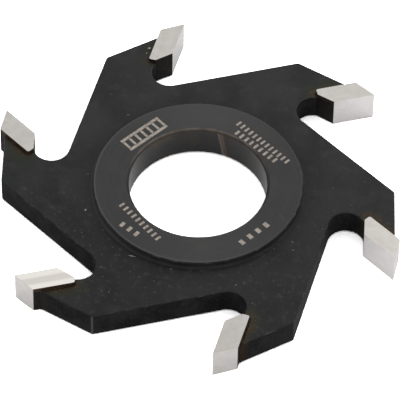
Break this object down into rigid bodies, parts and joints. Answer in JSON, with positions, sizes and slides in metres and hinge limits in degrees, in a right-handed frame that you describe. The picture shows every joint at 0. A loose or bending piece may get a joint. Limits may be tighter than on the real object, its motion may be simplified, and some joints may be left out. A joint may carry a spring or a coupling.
{
  "type": "straight bore cutter",
  "caption": "Flat round wood cutter with a raised ring round its bore and swept arms that carry brazed carbide tips, for grooves and rebates.",
  "frame": {"origin": "centre of the bore, halfway through the width of the hub", "axes": "+Z along the bore axis, towards the side seen in the picture; seen from +Z the cutter turns clockwise; the first tip's cutting edge lies 94.6 degrees round from +X"},
  "size_m": [0.1162, 0.1246, 0.0104],
  "materials": {
    "blackened_steel": "satin black oxide over ground steel",
    "ground_carbide": "finely ground tungsten carbide, warm light grey",
    "braze": "dull brown braze, darkened by heat"
  },
  "bodies": {
    "root": {"cutter_body": "blackened_steel", "carbide_tip_1": "ground_carbide", "carbide_tip_2": "ground_carbide", "carbide_tip_3": "ground_carbide", "carbide_tip_4": "ground_carbide", "carbide_tip_5": "ground_carbide", "carbide_tip_6": "ground_carbide", "braze_seam_1": "braze", "braze_seam_2": "braze", "braze_seam_3": "braze", "braze_seam_4": "braze", "braze_seam_5": "braze", "braze_seam_6": "braze"}
  },
  "joints": []
}
